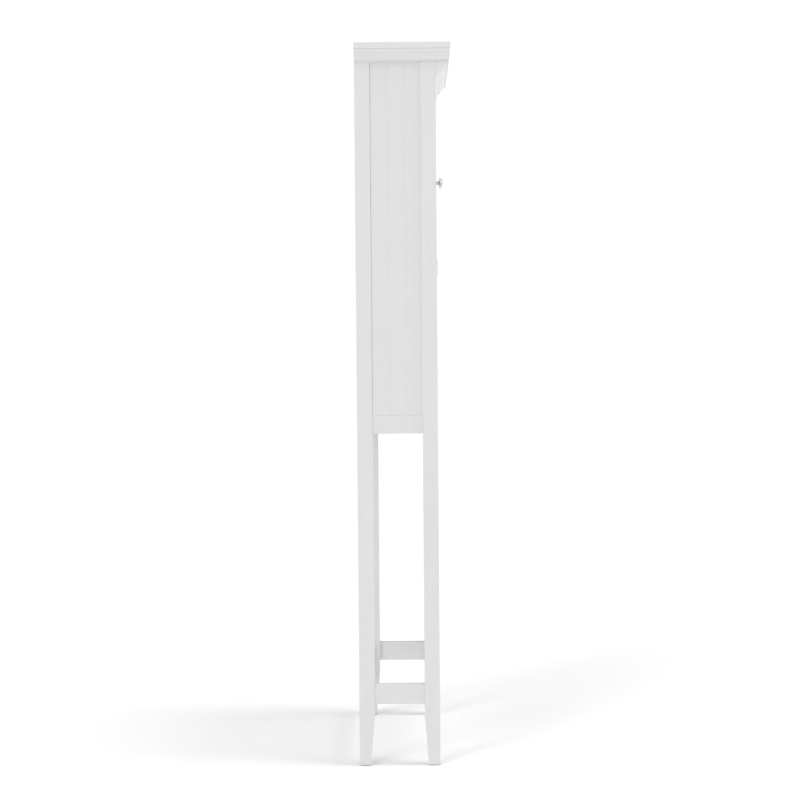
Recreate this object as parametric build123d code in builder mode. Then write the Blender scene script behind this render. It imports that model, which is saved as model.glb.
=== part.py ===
from build123d import *
import os

# A tall, narrow bath cabinet that stands over a toilet on four open, tapered legs.
# Millimetres. X runs left to right, the doors face -Y, the back stands against a wall at +Y,
# +Z is up. The origin is on the floor, under the middle of the overall box.

os.makedirs("parts", exist_ok=True)

# ---- Driving dimensions -------------------------------------------------------------------
overall_height = 1712.0
body_width = 670.0
body_depth = 192.0
base_height = 835.0          # top of the legs, where the upper cabinet sits

# Legs and posts
post_size = 36.5             # legs and posts are the same square stock
post_round = 0.8
foot_size = 27.0             # the square that each leg tapers to
taper_height = 118.0         # where the taper starts, above the floor
glide_radius = 11.0
glide_height = 2.0
glide_pin_radius = 1.5
glide_pin_length = 14.0
mortise_clearance = 0.2

# Base frame
apron_height = 43.0
apron_thickness = 18.0
face_recess = 4.0            # how far aprons, stretchers and side panels sit behind the posts
stretcher_low = 147.0
stretcher_high = 195.0
tenon_length = 12.0
tenon_thickness = 9.0
tenon_shoulder = 4.0         # the step above and below a tenon
corner_block_size = 26.0
corner_block_height = 40.0
bolt_radius = 3.0
bolt_head_radius = 6.0
bolt_head_height = 3.0
bolt_length = 45.0
bolt_clearance = 0.1

# Upper cabinet
board_thickness = 18.0
rail_thickness = 18.0
panel_thickness = 12.0
panel_tongue = 6.0           # how far a side panel goes into the posts
board_pitch = 41.4           # width of one board of the grooved panels
groove_width = 5.0
groove_depth = 0.6
panel_gap_width = 1.0        # chamfer where the first board meets the back post
panel_gap_depth = 1.0
bead_size = 3.0              # quarter-round bead under the crown band, along each side
back_panel_thickness = 6.0
back_rebate = 24.0           # how far the back panel laps the back posts
opening_drop = 83.0          # from the top of the cabinet down to the door opening
opening_height = 482.0
middle_rail_height = 22.0
edge_round = 1.2

# Adjustable shelf
shelf_rise = 237.0           # underside of the adjustable shelf, above the fixed shelf
shelf_thickness = 15.0
shelf_gap = 1.5              # free space round the adjustable shelf
shelf_door_gap = 3.0         # between the knob bolts' heads and the adjustable shelf
pin_radius = 2.5
pin_hole_depth = 9.0
pin_reach = 8.0              # how far a pin stands out of its post
pin_hole_step = 64.0
pin_inset = 9.0              # from a post's inner corner to its row of holes
pin_clearance = 0.1

# Crown
cap_thickness = 16.0
cap_round = 2.0
side_overhang = 9.0
front_overhang = 35.0
band_height = 27.0
band_setback = 1.8           # the front band stands this far inside the cap's edge
band_side_setback = 0.8      # and the side bands this far
band_upper = 8.0             # height of the band's upper flat
band_hollow = 0.6            # the small step between its two flats
band_lean = 2.4              # how far the lower flat leans in
band_thickness = 15.0
ogee_projection = 29.2
ogee_fillet = 9.0            # the small upright flat at its top
ogee_step = 3.0              # how far the hollow under it starts behind the flat
ogee_cove_out = 17.8         # where the upper hollow meets the round
ogee_cove_drop = 21.0
ogee_round_out = 8.0         # where the round meets the lower hollow
ogee_round_drop = 27.5
ogee_toe = 1.0
ogee_cove_radius = 18.0
ogee_round_radius = 14.0
ogee_toe_radius = 13.5

# Doors
door_thickness = 18.0
door_stile_width = 48.0
door_rail_height = 52.0
door_panel_thickness = 8.0
door_panel_recess = 5.0
door_groove_depth = 8.0
door_panel_gap = 0.8         # room for the panel to move in its grooves
door_board_groove = 1.2      # depth of the V grooves in its face

# Hinges: small butt hinges with the knuckle standing proud of the front
hinge_length = 38.0
hinge_leaf_depth = 16.0
hinge_leaf_thickness = 1.0
hinge_leaf_gap = 0.4         # between the two closed leaves
hinge_knuckle_radius = 2.2
hinge_pin_radius = 1.1
hinge_pin_clearance = 0.06
hinge_relief = 0.5
hinge_end_gap = 0.3
hinge_cap_height = 1.0
hinge_inset = 34.6           # hinge centre, down from the top of the door
hinge_rise = 33.6            # hinge centre, up from the bottom of the door
hinge_screw_radius = 1.5
hinge_screw_length = 13.0
hinge_screw_spread = 22.0
screw_clearance = 0.05

# Knobs
knob_rise = 246.6            # knob centre, above the bottom of the door
knob_radius = 12.0
knob_projection = 17.0
knob_disc_back = 9.0         # from the door's face to the back of the disc
knob_disc_edge = 3.0         # thickness of the disc at its rim
knob_disc_round = 0.8
knob_stem_radius = 4.2
knob_foot_radius = 6.0
knob_foot_height = 1.6
knob_bolt_radius = 2.0
knob_bolt_clearance = 0.1
knob_bolt_depth = 9.0        # length of the bolt inside the knob
knob_bolt_head_radius = 4.0
knob_bolt_head_height = 2.2

# Magnetic catches and their strike plates
catch_width = 28.0
catch_depth = 16.0
catch_height = 13.0
catch_from_middle = 12.0
catch_wall = 3.0
catch_mouth_depth = 3.0
catch_pole_width = 1.6
strike_thickness = 1.0
strike_gap = 0.5
strike_margin = 2.0

# Bracket that holds the top of the cabinet to the wall
bracket_width = 64.0
bracket_leg = 22.0
bracket_thickness = 2.0
bracket_hole_radius = 2.5
bracket_hole_spacing = 40.0
bracket_screw_radius = 1.4
bracket_screw_length = 12.0
bracket_screw_head_radius = 2.8
bracket_screw_head_height = 1.6

# ---- Places worked out from those sizes ---------------------------------------------------
side_face = body_width / 2
back_face = (body_depth + front_overhang) / 2
front_face = back_face - body_depth
post_inner = side_face - post_size
front_post_back = front_face + post_size
back_post_front = back_face - post_size
cap_underside = overall_height - cap_thickness
apron_low = base_height - apron_height
panel_outer = side_face - face_recess
panel_inner = panel_outer - panel_thickness
back_panel_front = back_face - back_panel_thickness
rail_back = front_face + rail_thickness
opening_high = overall_height - opening_drop
opening_low = opening_high - opening_height
middle_rail_low = opening_low - middle_rail_height
shelf_height = opening_low + shelf_rise
crown_band_low = cap_underside - band_height
door_gap = 2 * hinge_leaf_thickness + hinge_leaf_gap
door_low = opening_low + door_gap
door_high = opening_high - door_gap
door_outer = post_inner - door_gap
door_middle = door_gap / 2
door_back = front_face + door_thickness
hinge_axis = post_inner - door_gap / 2
hinge_heights = (door_high - hinge_inset, door_low + hinge_rise)
knuckle_length = hinge_length / 3
knob_axis = door_middle + door_stile_width / 2
knob_height = door_low + knob_rise
catch_front = door_back + strike_thickness + strike_gap
shelf_front_y = door_back + knob_bolt_head_height + shelf_door_gap
sides = (("left", -1), ("right", 1))


def keep(builder, name):
    """Label a finished piece and write it to its own file."""
    builder.part.label = name
    export_step(builder.part, f"parts/{name}.step")


def block(x_span, y_span, z_span, mode=Mode.ADD):
    """A square-edged block between two corners, in the part that is open."""
    middle = tuple((low + high) / 2 for low, high in (x_span, y_span, z_span))
    with Locations(middle):
        Box(*[abs(high - low) for low, high in (x_span, y_span, z_span)], mode=mode)


def peg(centre, radius, length, direction, mode=Mode.ADD):
    """A round peg or hole that starts at centre and runs along direction, in the open part."""
    with BuildSketch(Plane(origin=centre, z_dir=direction)) as end:
        Circle(radius)
    extrude(end.sketch, amount=length, mode=mode)


def ease(builder, axis, radius=edge_round):
    """Round the long edges of a board that run along one axis."""
    fillet(builder.part.edges().filter_by(axis), radius)


# ---- Legs ---------------------------------------------------------------------------------
def mortise(x_span, y_span, z_span):
    """Pocket for a tenon, a little wider than the tenon across its grain."""
    block(x_span, y_span, z_span, mode=Mode.SUBTRACT)


def tenon_spans(low, high):
    """Height span of a tenon on a rail that runs from low to high."""
    return low + tenon_shoulder, high - tenon_shoulder


def grown(span, amount):
    return span[0] - amount, span[1] + amount


side_tenon_x = (panel_outer - apron_thickness / 2 - tenon_thickness / 2,
                panel_outer - apron_thickness / 2 + tenon_thickness / 2)
back_rail_y = (back_face - face_recess - apron_thickness, back_face - face_recess)
front_rail_y = (front_face + face_recess, front_face + face_recess + apron_thickness)


def middle_third(span):
    """Thickness span of the tenon on a board of the given thickness span."""
    centre = (span[0] + span[1]) / 2
    return centre - tenon_thickness / 2, centre + tenon_thickness / 2


def mirrored(span, side):
    """A span along X on the left (-1) or right (+1) half."""
    return (side * span[0], side * span[1]) if side > 0 else (side * span[1], side * span[0])


for row, row_sign, row_y in (("front", -1, front_face), ("back", 1, back_face)):
    inner_y = row_y - row_sign * post_size
    end_rail_y = front_rail_y if row == "front" else back_rail_y
    for side_name, side in sides:
        leg_x = side * (side_face - post_size / 2)
        leg_y = row_y - row_sign * post_size / 2
        foot_x = side * (side_face - foot_size / 2)
        foot_y = row_y - row_sign * foot_size / 2
        with BuildPart() as leg:
            with BuildSketch(Plane.XY.offset(glide_height)) as foot:
                with Locations((foot_x, foot_y)):
                    RectangleRounded(foot_size, foot_size, post_round)
            with BuildSketch(Plane.XY.offset(taper_height)) as knee:
                with Locations((leg_x, leg_y)):
                    RectangleRounded(post_size, post_size, post_round)
            loft()
            extrude(knee.sketch, amount=base_height - taper_height)
            side_tenon_y = (inner_y, inner_y + row_sign * (tenon_length + mortise_clearance))
            end_tenon_x = mirrored((post_inner, post_inner + tenon_length + mortise_clearance), side)
            for low, high in ((apron_low, base_height), (stretcher_low, stretcher_high)):
                tenon_z = grown(tenon_spans(low, high), mortise_clearance)
                mortise(mirrored(grown(side_tenon_x, mortise_clearance), side), side_tenon_y, tenon_z)
                if row == "back" or low == apron_low:
                    mortise(end_tenon_x, grown(middle_third(end_rail_y), mortise_clearance), tenon_z)
            peg((foot_x, foot_y, glide_height), glide_pin_radius, glide_pin_length, (0, 0, 1),
                mode=Mode.SUBTRACT)
        keep(leg, f"leg_{row}_{side_name}")

# Plastic glides: a disc under each foot with a nail into the end of the leg.
with BuildPart() as glides:
    for row_sign, row_y in ((-1, front_face), (1, back_face)):
        for side_name, side in sides:
            centre = (side * (side_face - foot_size / 2), row_y - row_sign * foot_size / 2)
            peg((*centre, 0), glide_radius, glide_height, (0, 0, 1))
            peg((*centre, glide_height), glide_pin_radius, glide_pin_length, (0, 0, 1))
keep(glides, "foot_glides")

# ---- Aprons and stretchers, with a tenon at each end --------------------------------------
for side_name, side in sides:
    board_x = mirrored((panel_outer - apron_thickness, panel_outer), side)
    for name, low, high in (("apron", apron_low, base_height),
                            ("stretcher", stretcher_low, stretcher_high)):
        with BuildPart() as side_rail:
            block(board_x, (front_post_back, back_post_front), (low, high))
            ease(side_rail, Axis.Y)
            block(mirrored(side_tenon_x, side),
                  (front_post_back - tenon_length, back_post_front + tenon_length),
                  tenon_spans(low, high))
        keep(side_rail, f"{name}_{side_name}")

for name, rail_y, low, high in (("apron_front", front_rail_y, apron_low, base_height),
                                ("apron_back", back_rail_y, apron_low, base_height),
                                ("stretcher_back", back_rail_y, stretcher_low, stretcher_high)):
    with BuildPart() as end_rail:
        block((-post_inner, post_inner), rail_y, (low, high))
        ease(end_rail, Axis.X)
        block((-post_inner - tenon_length, post_inner + tenon_length), middle_third(rail_y),
              tenon_spans(low, high))
    keep(end_rail, name)

# Glued blocks in the corners of the apron frame, and the bolts that hold the cabinet to them.
block_top = base_height
block_x = (post_inner - corner_block_size, post_inner)
bolt_spots = []
with BuildPart() as corner_blocks:
    for side_name, side in sides:
        for near_y, away in ((front_rail_y[1], 1), (back_rail_y[0], -1)):
            far_y = near_y + away * corner_block_size
            block(mirrored(block_x, side), (min(near_y, far_y), max(near_y, far_y)),
                  (block_top - corner_block_height, block_top))
            spot = (side * (post_inner - corner_block_size / 2), (near_y + far_y) / 2)
            bolt_spots.append(spot)
            peg((*spot, block_top), bolt_radius + bolt_clearance,
                bolt_length - board_thickness + bolt_clearance, (0, 0, -1), mode=Mode.SUBTRACT)
keep(corner_blocks, "corner_blocks")

with BuildPart() as base_bolts:
    for spot in bolt_spots:
        peg((*spot, base_height + board_thickness), bolt_radius, bolt_length, (0, 0, -1))
        peg((*spot, base_height + board_thickness), bolt_head_radius, bolt_head_height, (0, 0, 1))
    head_rims = base_bolts.part.edges().filter_by(GeomType.CIRCLE).group_by(Axis.Z)[-1]
    fillet(head_rims, bolt_head_height / 2)
keep(base_bolts, "base_bolts")

# ---- Corner posts of the upper cabinet ----------------------------------------------------
hinge_screw_heights = [height + offset for height in hinge_heights
                       for offset in (-hinge_screw_spread / 2, hinge_screw_spread / 2)]
hinge_screw_y = front_face + hinge_knuckle_radius + (hinge_leaf_depth - hinge_knuckle_radius) / 2
pin_rows = [shelf_height - pin_radius + offset for offset in (-pin_hole_step, 0, pin_hole_step)]
front_pin_y = front_post_back - pin_inset
back_pin_y = back_post_front + pin_inset


def knuckle_reliefs(side, heights):
    """Hollows that give the hinge knuckles room to turn, in the part that is open."""
    for height in heights:
        peg((side * hinge_axis, front_face, height - hinge_length / 2 - hinge_relief * 3),
            hinge_knuckle_radius + hinge_relief, hinge_length + hinge_relief * 6, (0, 0, 1),
            mode=Mode.SUBTRACT)


for row, row_sign, row_y in (("front", -1, front_face), ("back", 1, back_face)):
    inner_y = row_y - row_sign * post_size
    pin_y = front_pin_y if row == "front" else back_pin_y
    for side_name, side in sides:
        with BuildPart() as post:
            with BuildSketch(Plane.XY.offset(base_height)):
                with Locations((side * (side_face - post_size / 2), row_y - row_sign * post_size / 2)):
                    RectangleRounded(post_size, post_size, post_round)
            extrude(amount=cap_underside - base_height)
            groove_y = (inner_y, inner_y + row_sign * panel_tongue)
            block(mirrored((panel_inner, panel_outer), side), groove_y, (base_height, cap_underside),
                  mode=Mode.SUBTRACT)
            for height in pin_rows:
                peg((side * post_inner, pin_y, height), pin_radius + pin_clearance, pin_hole_depth,
                    (side, 0, 0), mode=Mode.SUBTRACT)
            if row == "back":
                block(mirrored((post_inner, post_inner + back_rebate), side),
                      (back_panel_front, back_face), (base_height, cap_underside),
                      mode=Mode.SUBTRACT)
            else:
                knuckle_reliefs(side, hinge_heights)
                for height in hinge_screw_heights:
                    peg((side * post_inner, hinge_screw_y, height),
                        hinge_screw_radius + screw_clearance, hinge_screw_length,
                        (side, 0, 0), mode=Mode.SUBTRACT)
                for low, high in ((opening_high, cap_underside), (middle_rail_low, opening_low)):
                    mortise(mirrored((post_inner, post_inner + tenon_length + mortise_clearance), side),
                            grown(middle_third((front_face, rail_back)), mortise_clearance),
                            grown(tenon_spans(low, high), mortise_clearance))
        keep(post, f"post_{row}_{side_name}")

# ---- Grooved side panels, housed in the posts ---------------------------------------------
for side_name, side in sides:
    with BuildPart() as side_panel:
        with BuildSketch(Plane.XY.offset(base_height)):
            with Locations((side * (panel_outer + panel_inner) / 2,
                            (front_post_back + back_post_front) / 2)):
                Rectangle(panel_thickness, back_post_front - front_post_back + 2 * panel_tongue)
            for number in (1, 2):
                groove_y = back_post_front - number * board_pitch
                with BuildLine():
                    Polyline((side * panel_outer, groove_y - groove_width / 2),
                             (side * (panel_outer - groove_depth), groove_y),
                             (side * panel_outer, groove_y + groove_width / 2), close=True)
                make_face(mode=Mode.SUBTRACT)
            with BuildLine():
                Polyline((side * panel_outer, back_post_front - panel_gap_width),
                         (side * (panel_outer - panel_gap_depth), back_post_front),
                         (side * panel_outer, back_post_front), close=True)
            make_face(mode=Mode.SUBTRACT)
        extrude(amount=cap_underside - base_height)
    keep(side_panel, f"side_panel_{side_name}")

# Quarter-round beads under the crown bands. Between the posts each one is thicker, so that it
# also closes the top of the side panel.
for side_name, side in sides:
    with BuildPart() as panel_bead:
        with BuildSketch(Plane(origin=(side * side_face, back_face, crown_band_low),
                               x_dir=(side, 0, 0), z_dir=(0, -side, 0))) as bead_end:
            with BuildLine():
                bead_corner, bead_low = (bead_size, 0), (0, -bead_size)
                Polyline(bead_low, (0, 0), bead_corner)
                RadiusArc(bead_corner, bead_low, bead_size)
            make_face()
        extrude(amount=side * body_depth)
        block(mirrored((panel_outer, side_face), side), (front_post_back, back_post_front),
              (crown_band_low - bead_size, crown_band_low))
    keep(panel_bead, f"panel_bead_{side_name}")

# ---- Back panel, in the rebates of the back posts -----------------------------------------
bracket_top = cap_underside - board_thickness
bracket_hole_z = bracket_top - bracket_leg / 2 - bracket_thickness / 2
bracket_hole_x = (-bracket_hole_spacing / 2, bracket_hole_spacing / 2)
with BuildPart() as back_panel:
    block((-post_inner - back_rebate, post_inner + back_rebate), (back_panel_front, back_face),
          (base_height, cap_underside))
    for x in bracket_hole_x:
        peg((x, back_panel_front, bracket_hole_z), bracket_hole_radius, back_panel_thickness,
            (0, 1, 0), mode=Mode.SUBTRACT)
keep(back_panel, "back_panel")


# ---- Boards that fit round the posts ------------------------------------------------------
def notched_board(front, low, high):
    """Fill the plan between the side panels, cut round the four posts."""
    block((-panel_inner, panel_inner), (front, back_panel_front), (low, high))
    for side_name, side in sides:
        block(mirrored((post_inner, panel_inner), side), (front, front_post_back), (low, high),
              mode=Mode.SUBTRACT)
        block(mirrored((post_inner, panel_inner), side), (back_post_front, back_panel_front),
              (low, high), mode=Mode.SUBTRACT)


with BuildPart() as bottom_board:
    notched_board(front_face, base_height, base_height + board_thickness)
    front_edges = bottom_board.part.edges().filter_by(Axis.X).group_by(Axis.Y)[0]
    fillet(front_edges, edge_round)
    for spot in bolt_spots:
        peg((*spot, base_height), bolt_radius + bolt_clearance, board_thickness, (0, 0, 1),
            mode=Mode.SUBTRACT)
keep(bottom_board, "bottom_board")

with BuildPart() as middle_shelf:
    notched_board(rail_back, opening_low - board_thickness, opening_low)
keep(middle_shelf, "middle_shelf")

bracket_screw_y = back_panel_front - bracket_leg / 2 - bracket_thickness / 2
with BuildPart() as top_board:
    notched_board(rail_back, cap_underside - board_thickness, cap_underside)
    for x in bracket_hole_x:
        peg((x, bracket_screw_y, bracket_top), bracket_screw_radius + screw_clearance,
            bracket_screw_length - bracket_thickness + screw_clearance, (0, 0, 1),
            mode=Mode.SUBTRACT)
keep(top_board, "top_board")

with BuildPart() as adjustable_shelf:
    block((-post_inner + shelf_gap, post_inner - shelf_gap),
          (shelf_front_y, back_panel_front - shelf_gap),
          (shelf_height, shelf_height + shelf_thickness))
    shelf_front = adjustable_shelf.part.edges().filter_by(Axis.X).group_by(Axis.Y)[0]
    fillet(shelf_front, edge_round)
keep(adjustable_shelf, "adjustable_shelf")

with BuildPart() as shelf_pins:
    for side_name, side in sides:
        for pin_y in (front_pin_y, back_pin_y):
            start = (side * (post_inner + pin_hole_depth - pin_clearance), pin_y,
                     shelf_height - pin_radius)
            peg(start, pin_radius, pin_hole_depth + pin_reach - pin_clearance, (-side, 0, 0))
keep(shelf_pins, "shelf_pins")

# ---- Front rails, tenoned into the front posts --------------------------------------------
for name, low, high in (("rail_top", opening_high, cap_underside),
                        ("rail_middle", middle_rail_low, opening_low)):
    with BuildPart() as rail:
        block((-post_inner, post_inner), (front_face, rail_back), (low, high))
        front_edges = rail.part.edges().filter_by(Axis.X).group_by(Axis.Y)[0]
        fillet(front_edges, edge_round)
        block((-post_inner - tenon_length, post_inner + tenon_length),
              middle_third((front_face, rail_back)), tenon_spans(low, high))
    keep(rail, name)

# ---- Crown: a cap board, a moulded band on three sides and a deep ogee at the front -------
with BuildPart() as crown_cap:
    block((-side_face - side_overhang, side_face + side_overhang),
          (front_face - front_overhang, back_face), (cap_underside, overall_height))
    rims = crown_cap.part.edges().filter_by(GeomType.LINE).group_by(Axis.Z)
    back_edge = crown_cap.part.edges().filter_by(Axis.X).group_by(Axis.Y)[-1]
    fillet([edge for rim in (rims[0], rims[-1]) for edge in rim if edge not in back_edge], cap_round)
keep(crown_cap, "crown_cap")


def band_profile(out, inner):
    """Outline of the band: out is its face at the top, inner is the face that is glued on."""
    upper_low = cap_underside - band_upper
    Polyline((inner, crown_band_low), (inner, cap_underside), (out, cap_underside),
             (out, upper_low), (out - band_hollow, upper_low),
             (out - band_hollow - band_lean, crown_band_low), close=True)


side_out = side_face + side_overhang - band_side_setback
front_out = front_overhang - band_setback
corner_y = front_face - front_out
for side_name, side in sides:
    with BuildPart() as side_band:
        with BuildSketch(Plane(origin=(0, back_face, 0), x_dir=(1, 0, 0), z_dir=(0, -1, 0))):
            with BuildLine():
                band_profile(side_out, side_face)
            make_face()
        extrude(amount=back_face - corner_y)
        split(bisect_by=Plane(origin=(side_out, corner_y, 0), z_dir=(1, 1, 0)), keep=Keep.TOP)
        if side < 0:
            mirror(about=Plane.YZ, mode=Mode.REPLACE)
    keep(side_band, f"crown_band_{side_name}")

with BuildPart() as front_band:
    with BuildSketch(Plane(origin=(side_out, front_face, 0), x_dir=(0, -1, 0), z_dir=(-1, 0, 0))):
        with BuildLine():
            band_profile(front_out, front_out - band_thickness)
        make_face()
    extrude(amount=2 * side_out)
    for side_name, side in sides:
        split(bisect_by=Plane(origin=(side * side_out, corner_y, 0), z_dir=(-side, -1, 0)),
              keep=Keep.TOP)
keep(front_band, "crown_band_front")

ogee_cove = (ogee_cove_out, crown_band_low - ogee_cove_drop)
ogee_round = (ogee_round_out, crown_band_low - ogee_round_drop)
with BuildPart() as crown_ogee:
    with BuildSketch(Plane(origin=(side_face, front_face, 0), x_dir=(0, -1, 0), z_dir=(-1, 0, 0))):
        with BuildLine():
            fillet_low = (ogee_projection, crown_band_low - ogee_fillet)
            cove_start = (ogee_projection - ogee_step, crown_band_low - ogee_fillet)
            Polyline((ogee_toe, opening_high), (0, opening_high), (0, crown_band_low),
                     (ogee_projection, crown_band_low), fillet_low, cove_start)
            RadiusArc(cove_start, ogee_cove, -ogee_cove_radius)
            RadiusArc(ogee_cove, ogee_round, ogee_round_radius)
            RadiusArc(ogee_round, (ogee_toe, opening_high), -ogee_toe_radius)
        make_face()
    extrude(amount=2 * side_face)
keep(crown_ogee, "crown_ogee")

# ---- Doors: stiles and rails grooved round a boarded panel --------------------------------
door_y = (front_face, door_back)
groove_y = (front_face + door_panel_recess, front_face + door_panel_recess + door_panel_thickness)
panel_lip = door_groove_depth - door_panel_gap
field_x = (door_middle + door_stile_width, door_outer - door_stile_width)
field_z = (door_low + door_rail_height, door_high - door_rail_height)
stile_x = {"lock_stile": (door_middle, field_x[0]), "hinge_stile": (field_x[1], door_outer)}
stile_groove_x = {"lock_stile": (field_x[0] - door_groove_depth, field_x[0]),
                  "hinge_stile": (field_x[1], field_x[1] + door_groove_depth)}

for side_name, side in sides:
    for stile_name, x_span in stile_x.items():
        with BuildPart() as stile:
            block(mirrored(x_span, side), door_y, (door_low, door_high))
            ease(stile, Axis.Z)
            block(mirrored(stile_groove_x[stile_name], side), groove_y, (door_low, door_high),
                  mode=Mode.SUBTRACT)
            if stile_name == "hinge_stile":
                knuckle_reliefs(side, hinge_heights)
                for height in hinge_screw_heights:
                    peg((side * door_outer, hinge_screw_y, height),
                        hinge_screw_radius + screw_clearance, hinge_screw_length,
                        (-side, 0, 0), mode=Mode.SUBTRACT)
            else:
                peg((side * knob_axis, front_face, knob_height),
                    knob_bolt_radius + knob_bolt_clearance, door_thickness, (0, 1, 0),
                    mode=Mode.SUBTRACT)
        keep(stile, f"door_{side_name}_{stile_name}")

    for rail_name, rail_z, rail_groove_z in (
            ("top_rail", (field_z[1], door_high), (field_z[1], field_z[1] + door_groove_depth)),
            ("bottom_rail", (door_low, field_z[0]), (field_z[0] - door_groove_depth, field_z[0]))):
        with BuildPart() as rail:
            block(mirrored(field_x, side), door_y, rail_z)
            ease(rail, Axis.X)
            block(mirrored(grown(field_x, panel_lip), side), groove_y, rail_z)
            block(mirrored(grown(field_x, door_groove_depth), side), groove_y, rail_groove_z,
                  mode=Mode.SUBTRACT)
        keep(rail, f"door_{side_name}_{rail_name}")

    field_width = field_x[1] - field_x[0]
    groove_count = int(field_width / board_pitch)
    with BuildPart() as door_panel:
        with BuildSketch(Plane.XY.offset(field_z[0] - panel_lip)):
            with Locations((side * (field_x[0] + field_x[1]) / 2, (groove_y[0] + groove_y[1]) / 2)):
                Rectangle(field_width + 2 * panel_lip, door_panel_thickness)
            for number in range(groove_count):
                offset = (number - (groove_count - 1) / 2) * board_pitch
                x = side * (field_x[0] + field_x[1]) / 2 + offset
                with BuildLine():
                    Polyline((x - groove_width / 2, groove_y[0]), (x, groove_y[0] + door_board_groove),
                             (x + groove_width / 2, groove_y[0]), close=True)
                make_face(mode=Mode.SUBTRACT)
        extrude(amount=field_z[1] - field_z[0] + 2 * panel_lip)
    keep(door_panel, f"door_{side_name}_panel")

# ---- Hinges -------------------------------------------------------------------------------
knuckle_half = knuckle_length / 2


def hinge_leaves(side, leaf_x, knuckles, cleared):
    """One leaf of each hinge on a side: a plate, its knuckles and the room for the others."""
    for height in hinge_heights:
        axis_x = side * hinge_axis
        block(mirrored(leaf_x, side), (front_face, front_face + hinge_leaf_depth),
              (height - hinge_length / 2, height + hinge_length / 2))
        for low, high in cleared:
            peg((axis_x, front_face, height + low), hinge_knuckle_radius + hinge_end_gap,
                high - low, (0, 0, 1), mode=Mode.SUBTRACT)
        for low, high in knuckles:
            peg((axis_x, front_face, height + low), hinge_knuckle_radius, high - low, (0, 0, 1))
        peg((axis_x, front_face, height - hinge_length / 2), hinge_pin_radius + hinge_pin_clearance,
            hinge_length, (0, 0, 1), mode=Mode.SUBTRACT)
    for height in hinge_screw_heights:
        peg((side * leaf_x[0], hinge_screw_y, height), hinge_screw_radius + screw_clearance,
            hinge_leaf_thickness, (side, 0, 0), mode=Mode.SUBTRACT)


end_knuckles = ((-hinge_length / 2, -knuckle_half), (knuckle_half, hinge_length / 2))
middle_room = ((-knuckle_half, knuckle_half),)
middle_knuckle = ((-knuckle_half + hinge_end_gap, knuckle_half - hinge_end_gap),)
end_room = ((-hinge_length / 2, -knuckle_half + hinge_end_gap),
            (knuckle_half - hinge_end_gap, hinge_length / 2))
frame_leaf_x = (post_inner - hinge_leaf_thickness, post_inner)
door_leaf_x = (door_outer, door_outer + hinge_leaf_thickness)

with BuildPart() as frame_leaves:
    for side_name, side in sides:
        hinge_leaves(side, frame_leaf_x, end_knuckles, middle_room)
keep(frame_leaves, "hinge_frame_leaves")

with BuildPart() as frame_screws:
    for side_name, side in sides:
        for height in hinge_screw_heights:
            peg((side * frame_leaf_x[0], hinge_screw_y, height), hinge_screw_radius,
                hinge_leaf_thickness + hinge_screw_length, (side, 0, 0))
keep(frame_screws, "hinge_frame_screws")

with BuildPart() as hinge_pins:
    for side_name, side in sides:
        for height in hinge_heights:
            low = height - hinge_length / 2
            peg((side * hinge_axis, front_face, low), hinge_pin_radius, hinge_length, (0, 0, 1))
            for cap_z, direction in ((low, -1), (low + hinge_length, 1)):
                peg((side * hinge_axis, front_face, cap_z), hinge_knuckle_radius, hinge_cap_height,
                    (0, 0, direction))
keep(hinge_pins, "hinge_pins")

for side_name, side in sides:
    with BuildPart() as door_leaves:
        hinge_leaves(side, door_leaf_x, middle_knuckle, end_room)
    keep(door_leaves, f"door_{side_name}_hinge_leaves")

    with BuildPart() as door_screws:
        for height in hinge_screw_heights:
            peg((side * door_leaf_x[1], hinge_screw_y, height), hinge_screw_radius,
                hinge_leaf_thickness + hinge_screw_length, (-side, 0, 0))
    keep(door_screws, f"door_{side_name}_hinge_screws")

# ---- Knobs, their bolts, the strike plates and the magnetic catches -----------------------
for side_name, side in sides:
    knob_centre = (side * knob_axis, front_face, knob_height)
    with BuildPart() as knob:
        with BuildSketch(Plane(origin=knob_centre, x_dir=(1, 0, 0), z_dir=(0, 0, -1))):
            with BuildLine():
                disc_front = knob_disc_back + knob_disc_edge
                Polyline((0, knob_projection), (0, 0), (knob_foot_radius, 0),
                         (knob_foot_radius, knob_foot_height), (knob_stem_radius, 2 * knob_foot_height),
                         (knob_stem_radius, knob_disc_back),
                         (knob_radius - knob_disc_round, knob_disc_back),
                         (knob_radius, knob_disc_back + knob_disc_round), (knob_radius, disc_front))
                TangentArc((0, knob_projection), (knob_radius, disc_front), tangent=(1, 0))
            make_face()
        revolve(axis=Axis(knob_centre, (0, -1, 0)))
        peg(knob_centre, knob_bolt_radius + knob_bolt_clearance,
            knob_bolt_depth + knob_bolt_clearance, (0, -1, 0), mode=Mode.SUBTRACT)
    keep(knob, f"door_{side_name}_knob")

    with BuildPart() as knob_bolt:
        peg((side * knob_axis, door_back, knob_height), knob_bolt_radius,
            door_thickness + knob_bolt_depth, (0, -1, 0))
        peg((side * knob_axis, door_back, knob_height), knob_bolt_head_radius,
            knob_bolt_head_height, (0, 1, 0))
        rim = knob_bolt.part.edges().filter_by(GeomType.CIRCLE).sort_by(Axis.Y)[-1]
        fillet(rim, knob_bolt_head_height / 2)
    keep(knob_bolt, f"door_{side_name}_knob_bolt")

    catch_x = (catch_from_middle, catch_from_middle + catch_width)
    with BuildPart() as strike:
        block(mirrored(catch_x, side), (door_back, door_back + strike_thickness),
              (door_low + strike_margin, opening_low + catch_height))
        fillet(strike.part.edges().filter_by(Axis.Y), strike_thickness)
    keep(strike, f"door_{side_name}_strike_plate")

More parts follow.
